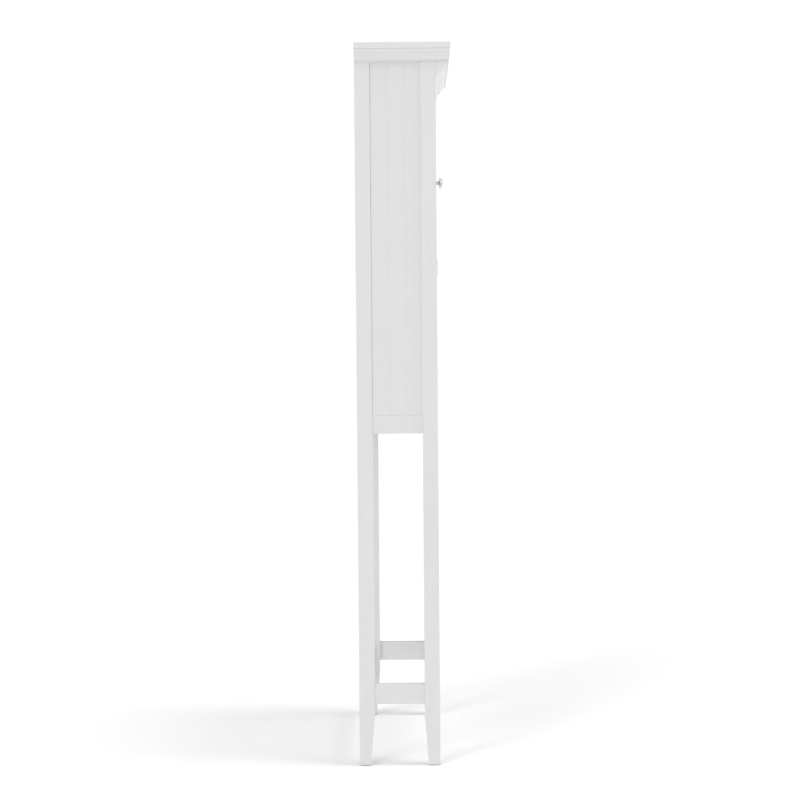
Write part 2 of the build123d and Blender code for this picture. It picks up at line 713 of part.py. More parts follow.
with BuildPart() as catches:
    for side_name, side in sides:
        catch_y = (catch_front, catch_front + catch_depth)
        block(mirrored(catch_x, side), catch_y, (opening_low, opening_low + catch_height))
        mouth_x = grown(catch_x, -catch_wall)
        mouth_z = (opening_low + catch_wall, opening_low + catch_height - catch_wall)
        block(mirrored(mouth_x, side), (catch_front, catch_front + catch_mouth_depth), mouth_z,
              mode=Mode.SUBTRACT)
        for low in (mouth_z[0], mouth_z[1] - catch_pole_width):
            block(mirrored(mouth_x, side), (catch_front, catch_front + catch_mouth_depth),
                  (low, low + catch_pole_width))
keep(catches, "magnetic_catches")

# ---- Wall bracket, inside the top of the cabinet ------------------------------------------
bracket_x = (-bracket_width / 2, bracket_width / 2)
with BuildPart() as bracket:
    block(bracket_x, (back_panel_front - bracket_thickness, back_panel_front),
          (bracket_top - bracket_leg, bracket_top))
    block(bracket_x, (back_panel_front - bracket_leg, back_panel_front),
          (bracket_top - bracket_thickness, bracket_top))
    for x in bracket_hole_x:
        peg((x, back_panel_front, bracket_hole_z), bracket_hole_radius, bracket_thickness,
            (0, -1, 0), mode=Mode.SUBTRACT)
        peg((x, bracket_screw_y, bracket_top), bracket_screw_radius + screw_clearance,
            bracket_thickness, (0, 0, -1), mode=Mode.SUBTRACT)
keep(bracket, "wall_bracket")

with BuildPart() as bracket_screws:
    for x in bracket_hole_x:
        head_top = bracket_top - bracket_thickness
        peg((x, bracket_screw_y, head_top), bracket_screw_radius, bracket_screw_length, (0, 0, 1))
        peg((x, bracket_screw_y, head_top), bracket_screw_head_radius, bracket_screw_head_height,
            (0, 0, -1))
    rims = bracket_screws.part.edges().filter_by(GeomType.CIRCLE).group_by(Axis.Z)[0]
    fillet(rims, bracket_screw_head_height / 2)
keep(bracket_screws, "wall_bracket_screws")
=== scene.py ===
import math

import bmesh
import bpy
from mathutils import Matrix, Vector


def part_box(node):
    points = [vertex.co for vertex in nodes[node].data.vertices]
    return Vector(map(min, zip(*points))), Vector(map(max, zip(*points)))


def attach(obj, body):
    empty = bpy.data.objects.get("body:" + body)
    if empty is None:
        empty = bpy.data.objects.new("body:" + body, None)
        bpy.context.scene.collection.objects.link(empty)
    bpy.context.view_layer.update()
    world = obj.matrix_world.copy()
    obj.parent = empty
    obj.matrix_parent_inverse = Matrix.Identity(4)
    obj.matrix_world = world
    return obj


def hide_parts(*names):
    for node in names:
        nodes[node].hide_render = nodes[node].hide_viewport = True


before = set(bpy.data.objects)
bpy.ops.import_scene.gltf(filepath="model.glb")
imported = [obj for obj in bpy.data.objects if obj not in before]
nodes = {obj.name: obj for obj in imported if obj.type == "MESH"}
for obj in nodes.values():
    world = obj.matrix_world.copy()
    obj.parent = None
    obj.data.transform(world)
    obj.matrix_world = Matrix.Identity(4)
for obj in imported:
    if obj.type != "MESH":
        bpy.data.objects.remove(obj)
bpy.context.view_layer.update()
mm = 0.001

# ---- Studio -------------------------------------------------------------------------------
# A white painted cabinet on a pale floor in a white room, seen square-on from its left side by
# a long lens. A strip of light hangs behind it to the left and another in front, and low
# softboxes stand before it, behind it and at its left.
lens_length = 103.2
camera_place = (-5.7447, -0.0492, 1.1459)
camera_yaw, camera_pitch, camera_roll = 0.01115, 0.05064, -0.00798
forward = Vector((math.cos(camera_pitch) * math.cos(camera_yaw),
                  math.cos(camera_pitch) * math.sin(camera_yaw), -math.sin(camera_pitch)))
level_right = forward.cross(Vector((0, 0, 1))).normalized()
level_up = level_right.cross(forward)
right = level_right * math.cos(camera_roll) + level_up * math.sin(camera_roll)
up = level_up * math.cos(camera_roll) - level_right * math.sin(camera_roll)
camera = bpy.data.objects.new("camera", bpy.data.cameras.new("camera"))
camera.data.lens = lens_length
camera.data.sensor_width = 36.0
camera.data.clip_end = 100.0
camera.matrix_world = Matrix.Translation(camera_place) @ Matrix((right, up, -forward)).transposed().to_4x4()
bpy.context.scene.collection.objects.link(camera)
bpy.context.scene.camera = camera
bpy.context.scene.view_settings.view_transform = "Standard"

floor_glow, horizon_light, overhead_light, backdrop_light = 1.10, 0.23, 0.86, 1.05
horizon_low, horizon_high = 0.48, 0.52     # from 0, straight down, to 1, straight up
world = bpy.data.worlds.new("studio")
world.use_nodes = True
bpy.context.scene.world = world
air, wire = world.node_tree.nodes, world.node_tree.links
air["Background"].inputs["Color"].default_value = (1, 1, 1, 1)
direction = air.new("ShaderNodeTexCoord")
height = air.new("ShaderNodeSeparateXYZ")
wire.new(direction.outputs["Generated"], height.inputs["Vector"])
room = air.new("ShaderNodeFloatCurve")
room.mapping.use_clip = False
sky_curve = room.mapping.curves[0]
sky_curve.points[0].location = (0.0, floor_glow)
sky_curve.points[1].location = (1.0, overhead_light)
sky_curve.points.new(horizon_low, floor_glow)
sky_curve.points.new(horizon_high, horizon_light)
for point in sky_curve.points:
    point.handle_type = "VECTOR"
room.mapping.update()
half = air.new("ShaderNodeMapRange")
half.inputs["From Min"].default_value = -1.0
wire.new(height.outputs["Z"], half.inputs["Value"])
wire.new(half.outputs["Result"], room.inputs["Value"])
seen = air.new("ShaderNodeLightPath")
backdrop = air.new("ShaderNodeMix")
backdrop.inputs["B"].default_value = backdrop_light
wire.new(seen.outputs["Is Camera Ray"], backdrop.inputs["Factor"])
wire.new(room.outputs["Value"], backdrop.inputs["A"])
wire.new(backdrop.outputs["Result"], air["Background"].inputs["Strength"])


def far_softbox(name, turn, rise, softness, on_floor):
    """A light so far away that it is even: turn is counted from the front towards the left, and
    on_floor is its share of the light on the floor."""
    lamp = bpy.data.lights.new(name, "SUN")
    turn, rise = math.radians(turn), math.radians(rise)
    lamp.energy, lamp.angle = math.pi * on_floor / math.sin(rise), math.radians(softness)
    place = Vector((-math.sin(turn) * math.cos(rise), -math.cos(turn) * math.cos(rise), math.sin(rise)))
    box = bpy.data.objects.new(name, lamp)
    box.matrix_world = (-place).to_track_quat("-Z", "Y").to_matrix().to_4x4()
    bpy.context.scene.collection.objects.link(box)


strip_softness, softbox_rise, softbox_softness = 12, 15, 30
for name, turn, rises, on_floor in (("back_strip", 121, (42, 52, 63, 75), 0.165),
                                    ("front_strip", 17, (66, 73, 79, 85), 0.25)):
    for rise in rises:
        far_softbox(name, turn, rise, strip_softness, on_floor / len(rises))
for name, turn, on_floor in (("front_softbox", 0, 0.098), ("back_softbox", 180, 0.050),
                             ("left_softbox", 90, 0.027)):
    far_softbox(name, turn, softbox_rise, softbox_softness, on_floor)

floor_radius, floor_white = 2.6, (0.85, 0.85, 0.85, 1)
floor_mesh = bmesh.new()
bmesh.ops.create_circle(floor_mesh, cap_ends=True, segments=128, radius=floor_radius)
floor_data = bpy.data.meshes.new("floor")
floor_mesh.to_mesh(floor_data)
floor_mesh.free()
floor = bpy.data.objects.new("floor", floor_data)
bpy.context.scene.collection.objects.link(floor)
floor_paint = bpy.data.materials.new("studio_floor")
floor_paint.use_nodes = True
floor_shader = floor_paint.node_tree.nodes["Principled BSDF"]
floor_shader.inputs["Base Color"].default_value = floor_white
floor_shader.inputs["Roughness"].default_value = 1.0
floor_shader.inputs["Specular IOR Level"].default_value = 0.0
floor_data.materials.append(floor_paint)

# ---- Base frame: legs, aprons and stretchers ----------------------------------------------
# Planed hardwood, tenoned and glued, then sprayed with satin white paint. The grain shows
# through the coat as faint long ripples under a fine orange peel, and along the arrises, where
# cloths and hands rub, the coat is thinner and a shade darker.
paint_white = (0.735, 0.735, 0.737, 1)
paint_cloud = (0.715, 0.716, 0.718, 1)     # where the coat went on a little thinner
paint_rubbed = (0.64, 0.635, 0.62, 1)
cloud_scale, ripple_scale, peel_scale = 5.0, 230.0, 1100.0     # features per metre
ripple_length = 0.035                      # across the grain, as a share of along it
ripple_share = 0.65                        # the rest of the relief is orange peel
thin_start, thin_end = 0.1, 0.5            # where the coat begins to be thin, and where it is
paint_relief = 0.05 * mm
paint_gloss, paint_matt = 0.33, 0.45
arris_reach = 0.7 * mm                     # width of the rounded and rubbed strip on an edge
rub_strength, rub_least = 0.35, 0.4
arris_cosine, flat_cosine = 0.75, 0.995    # of the turn that the rounding gives the surface


def finish_node(finish, kind, sockets, **traits):
    """Add one node to a finish. A socket is given its value, or another node's output."""
    node = finish.node_tree.nodes.new(kind)
    for trait, value in traits.items():
        setattr(node, trait, value)
    for socket, value in sockets.items():
        if isinstance(value, bpy.types.NodeSocket):
            finish.node_tree.links.new(value, node.inputs[socket])
        else:
            node.inputs[socket].default_value = value
    return node


def new_finish(name, **sockets):
    """A finish with its own shader: the sockets that are the same all over are set here."""
    finish = bpy.data.materials.new(name)
    finish.use_nodes = True
    shader = finish.node_tree.nodes["Principled BSDF"]
    for socket, value in sockets.items():
        shader.inputs[socket.replace("_", " ").title().replace("Ior", "IOR")].default_value = value
    return finish, shader


def on_shader(finish, shader, **outputs):
    """Feed the shader's colour, roughness or normal from other nodes."""
    for socket, output in outputs.items():
        finish.node_tree.links.new(output, shader.inputs[socket.replace("_", " ").title()])


def stretched(finish, shift, stretch):
    """Object coordinates, shifted by some metres and stretched."""
    object_place = finish_node(finish, "ShaderNodeTexCoord", {}).outputs["Object"]
    return finish_node(finish, "ShaderNodeMapping", {"Vector": object_place, "Location": shift,
                                                     "Scale": stretch}).outputs["Vector"]


def grain(finish, place, scale, detail=3.0):
    """Noise between 0 and 1 that has about scale features in a metre."""
    return finish_node(finish, "ShaderNodeTexNoise", {"Vector": place, "Scale": scale,
                                                      "Detail": detail}).outputs["Fac"]


def graded(finish, value, low, high, start=0.3, end=0.7):
    """A value that runs from low to high while another runs from start to end."""
    return finish_node(finish, "ShaderNodeMapRange", {"Value": value, "From Min": start, "From Max": end,
                                                      "To Min": low, "To Max": high}).outputs["Result"]


def worked(finish, operation, first, second):
    """The sum, product or other result of two values."""
    return finish_node(finish, "ShaderNodeMath", {0: first, 1: second},
                       operation=operation).outputs["Value"]


def shared(finish, first, share, second):
    """Two values added, the first in its share and the second in the rest."""
    return worked(finish, "ADD", worked(finish, "MULTIPLY", first, share),
                  worked(finish, "MULTIPLY", second, 1 - share))


def mixed(finish, share, first, second):
    """A colour between two colours."""
    return finish_node(finish, "ShaderNodeMixRGB", {"Fac": share, "Color1": first,
                                                    "Color2": second}).outputs["Color"]


def eased_normal(finish, reach):
    """The surface's direction with each sharp edge rounded over a few tenths of a millimetre."""
    return finish_node(finish, "ShaderNodeBevel", {"Radius": reach}, samples=6).outputs["Normal"]


def rubbed_edges(finish, rounded, strength):
    """1 on a sharp edge and 0 on a flat: how far the rounded direction leaves the true one."""
    true_normal = finish_node(finish, "ShaderNodeNewGeometry", {}).outputs["True Normal"]
    along = finish_node(finish, "ShaderNodeVectorMath", {0: rounded, 1: true_normal},
                        operation="DOT_PRODUCT").outputs["Value"]
    return graded(finish, along, strength, 0.0, arris_cosine, flat_cosine)


def relief(finish, heights, depth, rounded):
    """The shader's normal for a height between 0 and 1 that stands for a real depth."""
    return finish_node(finish, "ShaderNodeBump", {"Height": heights, "Distance": depth, "Strength": 1.0,
                                                  "Normal": rounded}).outputs["Normal"]


def white_paint(name, along, shift):
    """Satin white paint on a board whose grain runs along one axis, from 0 to 2."""
    finish, shader = new_finish(name, ior=1.46)
    stretch = [1.0, 1.0, 1.0]
    stretch[along] = ripple_length
    flat_place = stretched(finish, (shift, shift, shift), (1, 1, 1))
    grain_place = stretched(finish, (shift, -shift, shift), stretch)
    cloud = grain(finish, flat_place, cloud_scale, detail=2.0)
    ripple = grain(finish, grain_place, ripple_scale)
    peel = grain(finish, flat_place, peel_scale, detail=1.0)
    rounded = eased_normal(finish, arris_reach)
    rub = worked(finish, "MULTIPLY", rubbed_edges(finish, rounded, rub_strength),
                 graded(finish, cloud, rub_least, 1.0))
    thin = graded(finish, worked(finish, "MULTIPLY", cloud, ripple), 0.0, 1.0, thin_start, thin_end)
    coat = mixed(finish, thin, paint_white, paint_cloud)
    heights = shared(finish, ripple, ripple_share, peel)
    on_shader(finish, shader, base_color=mixed(finish, rub, coat, paint_rubbed),
              roughness=graded(finish, ripple, paint_gloss, paint_matt),
              normal=relief(finish, heights, paint_relief, rounded))
    return finish


across, deep, upright = 0, 1, 2
paint_shift = 0.37
paint_coats = {(along, coat): white_paint(f"white_paint_{word}_{coat + 1}", along, (coat + 1) * paint_shift)
               for along, word in ((across, "across"), (deep, "deep"), (upright, "upright"))
               for coat in (0, 1)}


def wear_finish(node, finish):
    for material_slot in nodes[node].material_slots:
        material_slot.material = finish


def paint(along, *names):
    """Paint boards whose grain runs the same way, neighbours with another run of the pattern."""
    for number, name in enumerate(names):
        wear_finish(name, paint_coats[along, number % 2])


sides = ("left", "right")
paint(upright, *[f"leg_{row}_{side}" for row in ("front", "back") for side in sides])
paint(across, "apron_front", "apron_back", "stretcher_back")
paint(deep, "apron_left", "stretcher_left", "apron_right", "stretcher_right")

# ---- Corner blocks ------------------------------------------------------------------------
# Short lengths of sawn pine, glued inside the corners of the apron frame and left bare. Their
# growth rings show as darker bands, and the saw has left fine furrows across them.
pine_early, pine_late = (0.74, 0.60, 0.42, 1), (0.52, 0.36, 0.20, 1)
ring_scale, ring_wander, furrow_scale = 130.0, 2.4, 900.0
ring_stretch, furrow_stretch = (1.0, 0.7, 0.08), (0.1, 0.1, 1.0)
late_start, late_end = 0.45, 0.95          # the part of each ring that grew late and dark
pine_relief, pine_smooth, pine_rough = 0.12 * mm, 0.62, 0.82
bare_pine, pine_shader = new_finish("bare_pine", ior=1.5)
pine_place = stretched(bare_pine, (0, 0, 0), ring_stretch)
rings = finish_node(bare_pine, "ShaderNodeTexWave", {"Vector": pine_place, "Scale": ring_scale,
                                                     "Distortion": ring_wander, "Detail": 2.0},
                    bands_direction="DIAGONAL").outputs["Fac"]
furrows = grain(bare_pine, stretched(bare_pine, (0, 0, 0), furrow_stretch), furrow_scale)
pine_rounded = eased_normal(bare_pine, arris_reach)
late_wood = graded(bare_pine, rings, 0.0, 1.0, late_start, late_end)
on_shader(bare_pine, pine_shader, base_color=mixed(bare_pine, late_wood, pine_early, pine_late),
          roughness=graded(bare_pine, furrows, pine_smooth, pine_rough),
          normal=relief(bare_pine, worked(bare_pine, "ADD", furrows, rings), pine_relief, pine_rounded))
wear_finish("corner_blocks", bare_pine)

# ---- Base bolts ---------------------------------------------------------------------------
# Four zinc plated bolts with low round heads and a hexagon socket. Each stands on a washer on
# the bottom board and runs down into a corner block, which holds the cabinet to its base.
zinc_bright, zinc_dull = (0.70, 0.71, 0.73, 1), (0.56, 0.57, 0.60, 1)
spangle_scale, zinc_relief = 700.0, 0.02 * mm
zinc_smooth, zinc_rough = 0.26, 0.42
metal_edge_reach, metal_edge_shine = 0.15 * mm, 0.6
mark_share, plate_mottle, edge_brightness = 0.6, 6, 1.15     # a mottle spans plate_mottle marks
merge_distance = 0.001 * mm
odd_turn = 1.3                             # no two screws end up at the same angle
smooth_below = math.radians(32)
cross_cells, hexagon_cuts, recess_taper = 5, 3, 9


def plated(name, bright, dull, scale, stretch, smooth, rough, depth):
    """Plated metal: fine marks that run one way, a mottled plate and brighter edges."""
    finish, shader = new_finish(name, metallic=1.0)
    marks = grain(finish, stretched(finish, (0, 0, 0), stretch), scale)
    mottle = grain(finish, stretched(finish, (0, 0, 0), (1, 1, 1)), scale / plate_mottle, detail=2.0)
    rounded = eased_normal(finish, metal_edge_reach)
    plate = mixed(finish, graded(finish, mottle, 0.0, 1.0), bright, dull)
    shine = tuple(min(1.0, part * edge_brightness) for part in bright[:3]) + (1,)
    on_shader(finish, shader,
              base_color=mixed(finish, rubbed_edges(finish, rounded, metal_edge_shine), plate, shine),
              roughness=graded(finish, shared(finish, marks, mark_share, mottle), smooth, rough),
              normal=relief(finish, marks, depth, rounded))
    return finish


zinc_steel = plated("zinc_steel", zinc_bright, zinc_dull, spangle_scale, (1, 1, 1), zinc_smooth,
                    zinc_rough, zinc_relief)


def solids(node):
    """The lowest and highest corner of each separate solid of a CAD node."""
    whole = bmesh.new()
    whole.from_mesh(nodes[node].data)
    bmesh.ops.remove_doubles(whole, verts=whole.verts, dist=merge_distance)
    waiting, boxes = set(whole.verts), []
    while waiting:
        reached = [waiting.pop()]
        for vert in reached:
            near = {edge.other_vert(vert) for edge in vert.link_edges} & waiting
            waiting -= near
            reached += near
        boxes.append([Vector([pick(vert.co[axis] for vert in reached) for axis in range(3)])
                      for pick in (min, max)])
    whole.free()
    return sorted(boxes, key=lambda box: [round(part, 4) for part in box[0]])


def next_ring(shape, rim, radius, level):
    """Carry an open round rim on to another radius and level, and return the new rim."""
    grown = bmesh.ops.extrude_edge_only(shape, edges=rim)["geom"]
    corners = [part for part in grown if isinstance(part, bmesh.types.BMVert)]
    for corner in corners:
        spoke = corner.co.xy.normalized() * radius
        corner.co = (spoke.x, spoke.y, level)
    return [part for part in grown
            if isinstance(part, bmesh.types.BMEdge) and all(end in corners for end in part.verts)]


def fastener(recess, width, depth, dome, rings):
    """A screw or bolt that points down, with the rim of its head at level 0 and a hollow in it
    for the driver. Its rings are (radius, level) pairs from that rim to the tip."""
    shape = bmesh.new()
    if recess == "cross":
        bmesh.ops.create_grid(shape, x_segments=cross_cells, y_segments=cross_cells, size=width)
        hollow = [face for face in shape.faces
                  if min(abs(part) for part in face.calc_center_median().xy) < width / cross_cells]
    else:
        bmesh.ops.create_circle(shape, cap_ends=True, segments=6, radius=width)
        bmesh.ops.subdivide_edges(shape, edges=shape.edges[:], cuts=hexagon_cuts)
        hollow = shape.faces[:]
    border = [edge for edge in shape.edges if edge.is_boundary]
    ends = bmesh.ops.create_circle(shape, segments=len(border), radius=rings[0][0])["verts"]
    rim = [edge for edge in shape.edges if all(end in ends for end in edge.verts)]
    bmesh.ops.bridge_loops(shape, edges=border + rim)
    for vert in shape.verts:
        vert.co.z = dome * (1 - (vert.co.xy.length / rings[0][0]) ** 2)
    bmesh.ops.inset_region(shape, faces=hollow, thickness=width / recess_taper, depth=-depth,
                           use_even_offset=True)
    last = rim
    for radius, level in rings[1:]:
        last = next_ring(shape, last, radius, level)
    bmesh.ops.edgeloop_fill(shape, edges=last)
    bmesh.ops.recalc_face_normals(shape, faces=shape.faces)
    return shape


def turned(points, steps=40):
    """A round solid from the (radius, level) points of its outline, which starts and ends on its
    axis."""
    shape = bmesh.new()
    corners = [shape.verts.new((radius, 0.0, level)) for radius, level in points]
    outline = [shape.edges.new(pair) for pair in zip(corners, corners[1:])]
    bmesh.ops.spin(shape, geom=corners + outline, cent=(0, 0, 0), axis=(0, 0, 1), dvec=(0, 0, 0),
                   angle=math.tau, steps=steps, use_merge=True, use_duplicate=False)
    bmesh.ops.remove_doubles(shape, verts=shape.verts, dist=merge_distance)
    bmesh.ops.recalc_face_normals(shape, faces=shape.faces)
    return shape


def soften(shape, width, sharper_than=35.0):
    """Round each edge that turns by more than an angle."""
    sharp = [edge for edge in shape.edges
             if edge.is_manifold and edge.calc_face_angle() > math.radians(sharper_than)]
    bmesh.ops.bevel(shape, geom=sharp, offset=width, offset_type="OFFSET", affect="EDGES",
                    segments=2, profile=0.5, material=-1, clamp_overlap=True)
    return shape


def planted(pattern, spots):
    """Copies of one small mesh, each moved to its spot with its top turned to face outwards."""
    group = bmesh.new()
    for number, (place, facing) in enumerate(spots):
        copy = bpy.data.meshes.new("copy")
        pattern.to_mesh(copy)
        copy.transform(Matrix.Translation(place) @ facing.to_track_quat("Z", "Y").to_matrix().to_4x4()
                       @ Matrix.Rotation(number * odd_turn, 4, "Z"))
        group.from_mesh(copy)
        bpy.data.meshes.remove(copy)
    pattern.free()
    return group


def fit(name, shape, finish, body, *replaced):
    """Make a finished mesh a piece of the cabinet, in the place of its plain CAD node."""
    data = bpy.data.meshes.new(name)
    shape.to_mesh(data)
    shape.free()
    data.materials.append(finish)
    data.shade_smooth()
    data.set_sharp_from_angle(angle=smooth_below)
    piece = bpy.data.objects.new(name, data)
    bpy.context.scene.collection.objects.link(piece)
    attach(piece, body)
    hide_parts(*replaced)
    return piece


z_up, z_down = Vector((0, 0, 1)), Vector((0, 0, -1))
bolt_boxes = solids("base_bolts")
washer_radius = (bolt_boxes[0][1].x - bolt_boxes[0][0].x) / 2
bolt_dome, washer_height, bolt_shank, bolt_point = 0.8 * mm, 0.7 * mm, 3.0 * mm, 1.2 * mm
bolt_socket, bolt_socket_depth = 2.1 * mm, 1.5 * mm
washer_margin, head_draft, head_round, head_round_drop = 0.6 * mm, 0.1 * mm, 0.5 * mm, 0.3 * mm
bolt_head = washer_radius - washer_margin
head_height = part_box("base_bolts")[1].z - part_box("bottom_board")[1].z
bolt_total = bolt_boxes[0][1].z - bolt_boxes[0][0].z
head_low, washer_low = -(head_height - bolt_dome - washer_height), -(head_height - bolt_dome)
bolt = fastener("hexagon", bolt_socket, bolt_socket_depth, bolt_dome, (
    (bolt_head - head_draft - head_round, 0), (bolt_head - head_draft, -head_round_drop),
    (bolt_head, head_low), (washer_radius, head_low), (washer_radius, washer_low), (bolt_shank, washer_low),
    (bolt_shank, bolt_dome - bolt_total + bolt_point), (bolt_shank - bolt_point, bolt_dome - bolt_total)))
fit("base_bolts_and_washers",
    planted(bolt, [(Vector(((low.x + high.x) / 2, (low.y + high.y) / 2, high.z - bolt_dome)), z_up)
                   for low, high in bolt_boxes]),
    zinc_steel, "cabinet", "base_bolts")

# ---- Foot glides --------------------------------------------------------------------------
# A nylon button under each foot, moulded with a rounded rim round the nail that is driven up
# into the end of the leg.
nylon, nylon_shade = (0.80, 0.80, 0.79, 1), (0.70, 0.70, 0.69, 1)
mould_scale, mould_relief, mould_mottle = 1500.0, 0.02 * mm, 12     # a mottle spans 12 grains


def moulded(name, tone, shade, gloss, matt):
    """Moulded plastic with a fine even texture and a faint mottle."""
    finish, shader = new_finish(name, ior=1.5)
    texture = grain(finish, stretched(finish, (0, 0, 0), (1, 1, 1)), mould_scale, detail=1.0)
    mottle = grain(finish, stretched(finish, (0, 0, 0), (1, 1, 1)), mould_scale / mould_mottle)
    rounded = eased_normal(finish, metal_edge_reach)
    on_shader(finish, shader, base_color=mixed(finish, graded(finish, mottle, 0.0, 1.0), tone, shade),
              roughness=graded(finish, texture, gloss, matt),
              normal=relief(finish, texture, mould_relief, rounded))
    return finish


glide_plastic = moulded("glide_plastic", nylon, nylon_shade, 0.42, 0.58)
glide_boxes = solids("foot_glides")
glide_radius = (glide_boxes[0][1].x - glide_boxes[0][0].x) / 2
glide_sole, glide_sole_round, glide_side, glide_top = 0.80, 0.95, 0.97, 0.93     # of its radius
glide_round, glide_widest, glide_nail, nail_point = 0.3 * mm, 0.9 * mm, 1.5 * mm, 3.0 * mm
glide_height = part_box("leg_front_left")[0].z
nail_top = glide_boxes[0][1].z
glide = turned(((0, 0), (glide_radius * glide_sole, 0), (glide_radius * glide_sole_round, glide_round),
                (glide_radius, glide_widest), (glide_radius * glide_side, glide_height - glide_round),
                (glide_radius * glide_top, glide_height), (glide_nail, glide_height),
                (glide_nail, nail_top - nail_point), (0, nail_top)))
fit("nylon_foot_glides",
    planted(glide, [(Vector(((low.x + high.x) / 2, (low.y + high.y) / 2, low.z)), z_up)
                    for low, high in glide_boxes]),
    glide_plastic, "cabinet", "foot_glides")

# ---- Upper cabinet: posts, side panels, boards and front rails ----------------------------
# Square posts stand on the legs. Grooved panels are housed between them at the sides, each closed
# at its top by a bead, the boards are cut round them, a thin back is let in behind, and two rails
# are tenoned between the front ones. All of it wears the same white paint.
paint(upright, *[f"post_{row}_{side}" for side in sides for row in ("front", "back")])
paint(upright, "side_panel_left", "side_panel_right")
paint(upright, "back_panel")
paint(deep, "panel_bead_left", "panel_bead_right")
paint(across, "bottom_board", "middle_shelf", "top_board", "rail_middle", "rail_top")

# ---- Crown --------------------------------------------------------------------------------
# A flat cap board with rounded edges, a moulded band mitred round three sides under it, and a
# deep ogee moulding glued to the top rail.
paint(across, "crown_cap", "crown_band_front", "crown_ogee")
paint(deep, "crown_band_left", "crown_band_right")

# ---- Adjustable shelf and its pins --------------------------------------------------------
# A loose painted shelf lies on four zinc plated pins. Each pin is pushed into its hole up to a
# thin collar, which fills the gap beside the shelf, and has a rounded tip.
paint(across, "adjustable_shelf")
pin_boxes = solids("shelf_pins")
pin_radius = (pin_boxes[0][1].z - pin_boxes[0][0].z) / 2
pin_length = pin_boxes[0][1].x - pin_boxes[0][0].x
pin_reach = pin_boxes[0][1].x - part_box("post_front_left")[1].x
collar_radius, collar_width, tip_round = 3.5 * mm, 1.0 * mm, 0.8 * mm
tip_bulge = tip_round * 0.3
shelf_pin = turned(((0, 0), (pin_radius - tip_round, 0), (pin_radius - tip_bulge, -tip_bulge),
                    (pin_radius, -tip_round), (pin_radius, collar_width - pin_reach),
                    (collar_radius, collar_width - pin_reach), (collar_radius, -pin_reach),
                    (pin_radius, -pin_reach), (pin_radius, -pin_length), (0, -pin_length)), steps=24)
pin_spots = [(Vector((high.x if low.x < 0 else low.x, (low.y + high.y) / 2, (low.z + high.z) / 2)),
              Vector((1 if low.x < 0 else -1, 0, 0))) for low, high in pin_boxes]
fit("collared_shelf_pins", planted(shelf_pin, pin_spots), zinc_steel, "cabinet", "shelf_pins")

# ---- Doors: stiles, rails and boarded panels ----------------------------------------------
# Each door is a painted frame of two stiles and two rails, grooved round a loose panel whose
# shallow V grooves make it look like narrow boards.
for side in sides:
    paint(upright, f"door_{side}_hinge_stile", f"door_{side}_panel", f"door_{side}_lock_stile")
    paint(across, f"door_{side}_top_rail", f"door_{side}_bottom_rail")

# ---- Hinges -------------------------------------------------------------------------------
# Small butt hinges in satin nickel plate. Two leaves with rolled knuckles turn on a pin with
# domed tips, and countersunk cross-head screws hold them to the post and to the door's edge.
nickel_satin, nickel_shade = (0.70, 0.70, 0.69, 1), (0.60, 0.60, 0.585, 1)
draw_scale, draw_stretch, draw_relief = 1600.0, (1, 1, 0.03), 0.015 * mm
satin_smooth, satin_rough = 0.30, 0.44
satin_nickel = plated("satin_nickel", nickel_satin, nickel_shade, draw_scale, draw_stretch, satin_smooth,
                      satin_rough, draw_relief)
for node in ("hinge_frame_leaves", "door_left_hinge_leaves", "door_right_hinge_leaves"):
    wear_finish(node, satin_nickel)

pin_solids = solids("hinge_pins")
knuckle = (pin_solids[0][1].x - pin_solids[0][0].x) / 2
hinge_pin_shank, tip_height, tip_ring = 1.1 * mm, 1.0 * mm, 0.25 * mm
pin_high = pin_solids[0][1].z - pin_solids[0][0].z
dome_steps = [math.radians(angle) for angle in (0, 25, 50, 75, 90)]
dome_up = [(knuckle * math.sin(angle), (tip_height - tip_ring) * (1 - math.cos(angle)))
           for angle in dome_steps]
lower_tip = dome_up + [(knuckle, tip_height), (hinge_pin_shank, tip_height)]
upper_tip = [(radius, pin_high - level) for radius, level in reversed(lower_tip)]
hinge_pin = turned(lower_tip + upper_tip, steps=24)
fit("domed_hinge_pins",
    planted(hinge_pin, [(Vector(((low.x + high.x) / 2, (low.y + high.y) / 2, low.z)), z_up)
                        for low, high in pin_solids]),
    satin_nickel, "cabinet", "hinge_pins")

hinge_head, hinge_head_dome, hinge_head_proud = 2.6 * mm, 0.08 * mm, 0.06 * mm
hinge_cross, hinge_cross_depth, hinge_head_cone = 1.5 * mm, 0.8 * mm, 1.2 * mm
screw_point, screw_tip = 4.0 * mm, 0.2 * mm
for node, body, heads_inward in (("hinge_frame_screws", "cabinet", True),
                                 ("door_left_hinge_screws", "door_left", False),
                                 ("door_right_hinge_screws", "door_right", False)):
    screw_boxes = solids(node)
    screw_length = screw_boxes[0][1].x - screw_boxes[0][0].x
    screw_shank = (screw_boxes[0][1].z - screw_boxes[0][0].z) / 2
    hinge_screw = fastener("cross", hinge_cross, hinge_cross_depth, hinge_head_dome, (
        (hinge_head, 0), (hinge_head, -hinge_head_proud), (screw_shank, -hinge_head_cone),
        (screw_shank, screw_point - screw_length), (screw_tip, -screw_length)))
    spots = []
    for low, high in screw_boxes:
        facing = Vector((1 if (low.x < 0) == heads_inward else -1, 0, 0))
        head_x = high.x if facing.x > 0 else low.x
        spots.append((Vector((head_x, (low.y + high.y) / 2, (low.z + high.z) / 2))
                      + facing * hinge_head_proud, facing))
    fit(f"cross_head_{node}", planted(hinge_screw, spots), satin_nickel, body, node)

